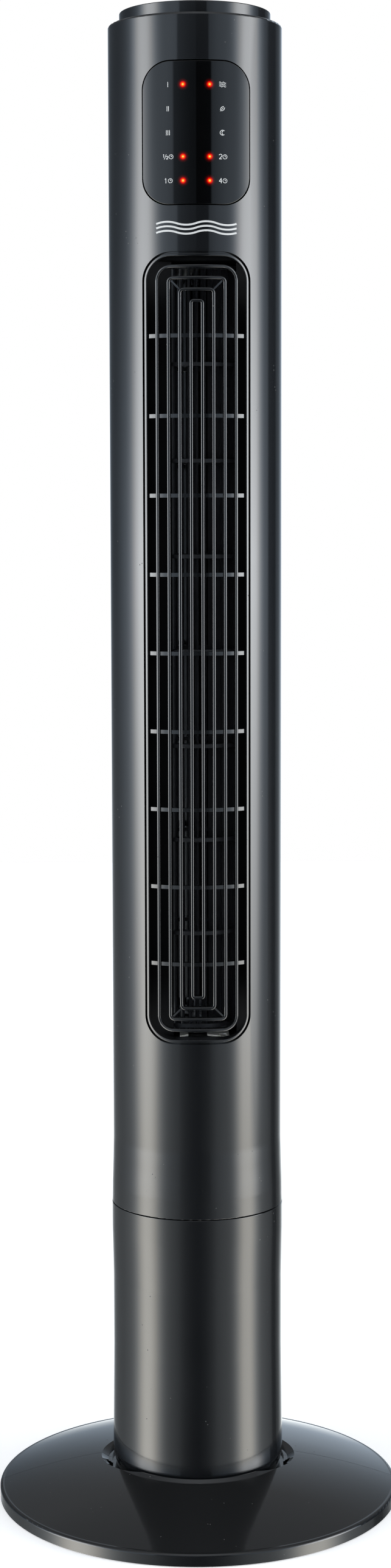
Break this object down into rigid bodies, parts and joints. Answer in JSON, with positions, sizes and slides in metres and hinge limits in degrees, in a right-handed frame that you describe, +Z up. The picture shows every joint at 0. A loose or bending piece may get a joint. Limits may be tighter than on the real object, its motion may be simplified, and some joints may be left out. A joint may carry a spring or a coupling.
{
  "type": "tower fan",
  "caption": "Tall oscillating tower fan: round column on a flat round base, long rounded outlet with nested loop grille, smoked display window and top keys.",
  "frame": {"origin": "centre of the round base at the floor, under the tower's axis", "axes": "+Z up along the tower, -Y towards the air outlet and display, +X to the right seen from the front"},
  "size_m": [0.329, 0.329, 1.2],
  "materials": {
    "gloss_black": "high-gloss injection-moulded black plastic",
    "satin_black": "satin black plastic",
    "wheel_black": "satin black moulded fan wheel",
    "smoked_lens": "smoked glossy display window",
    "foot_rubber": "black rubber",
    "screw_steel": "zinc-plated steel fasteners and pins",
    "zinc_steel": "bright zinc-plated sheet steel",
    "motor_steel": "cast and stamped motor metal",
    "hub_aluminium": "turned aluminium",
    "bronze": "sintered bronze",
    "white_pom": "natural acetal",
    "board_green": "glass-fibre circuit board",
    "component_black": "moulded electronic parts",
    "capacitor_white": "film capacitor case",
    "lamp_red": "red signal lamps"
  },
  "bodies": {
    "pedestal": {"base_front": "gloss_black", "base_rear": "gloss_black", "base_feet": "foot_rubber", "base_screws": "screw_steel", "column_front": "gloss_black", "column_rear": "gloss_black", "cord_gland": "satin_black", "swivel_plate": "satin_black", "swivel_plate_screws": "screw_steel", "slide_ring": "white_pom", "swing_gear": "white_pom", "swing_gear_screws": "screw_steel"},
    "tower": {"front_housing": "gloss_black", "rear_housing": "gloss_black", "outlet_grille": "gloss_black", "top_cap": "gloss_black", "carry_handle": "satin_black", "air_tongue": "satin_black", "air_scroll": "satin_black", "duct_floor": "satin_black", "bearing_bracket": "satin_black", "led_baffle": "satin_black", "turntable": "satin_black", "display_lens": "smoked_lens", "motor_grommets": "foot_rubber", "swing_motor_screws": "screw_steel", "turntable_screws": "screw_steel", "housing_screws": "screw_steel", "motor_screws": "screw_steel", "button_board_screws": "screw_steel", "motor_bracket": "zinc_steel", "swing_motor": "zinc_steel", "motor_stator": "motor_steel", "upper_bush": "bronze", "power_board": "board_green", "display_board": "board_green", "button_board": "board_green", "power_board_parts": "component_black", "remote_receiver": "component_black", "sounder": "component_black", "button_switches": "component_black", "run_capacitor": "capacitor_white", "led_lamps": "lamp_red"},
    "wheel": {"impeller": "wheel_black", "impeller_hub": "hub_aluminium", "impeller_set_screw": "screw_steel", "impeller_top_shaft": "screw_steel", "motor_rotor": "motor_steel"},
    "pinion": {"swing_pinion": "white_pom", "swing_motor_shaft": "screw_steel"},
    "key_power": {"button_power": "gloss_black"},
    "key_speed": {"button_speed": "gloss_black"},
    "key_mode": {"button_mode": "gloss_black"},
    "key_timer": {"button_timer": "gloss_black"},
    "key_swing": {"button_swing": "gloss_black"}
  },
  "joints": [
    {"name": "swing", "type": "hinge", "parent": "pedestal", "child": "tower", "pos_m": [0, 0, 0.248], "axis": [0, 0, 1], "range_deg": [-35, 35]},
    {"name": "wheel_spin", "type": "hinge", "parent": "tower", "child": "wheel", "pos_m": [0, 0.008, 0.70005], "axis": [0, 0, 1], "continuous": true},
    {"name": "pinion_spin", "type": "hinge", "parent": "tower", "child": "pinion", "pos_m": [0, 0.0324, 0.2659], "axis": [0, 0, 1], "range_deg": [-106, 106]},
    {"name": "press_power", "type": "slide", "parent": "tower", "child": "key_power", "axis": [0, 0, -1], "range_m": [0, 0.0008], "stiffness_N_per_m": 400},
    {"name": "press_speed", "type": "slide", "parent": "tower", "child": "key_speed", "axis": [0, 0, -1], "range_m": [0, 0.0008], "stiffness_N_per_m": 400},
    {"name": "press_mode", "type": "slide", "parent": "tower", "child": "key_mode", "axis": [0, 0, -1], "range_m": [0, 0.0008], "stiffness_N_per_m": 400},
    {"name": "press_timer", "type": "slide", "parent": "tower", "child": "key_timer", "axis": [0, 0, -1], "range_m": [0, 0.0008], "stiffness_N_per_m": 400},
    {"name": "press_swing", "type": "slide", "parent": "tower", "child": "key_swing", "axis": [0, 0, -1], "range_m": [0, 0.0008], "stiffness_N_per_m": 400}
  ],
  "couplings": [
    {"joint": "pinion_spin", "follows": "swing", "ratio": 3}
  ]
}
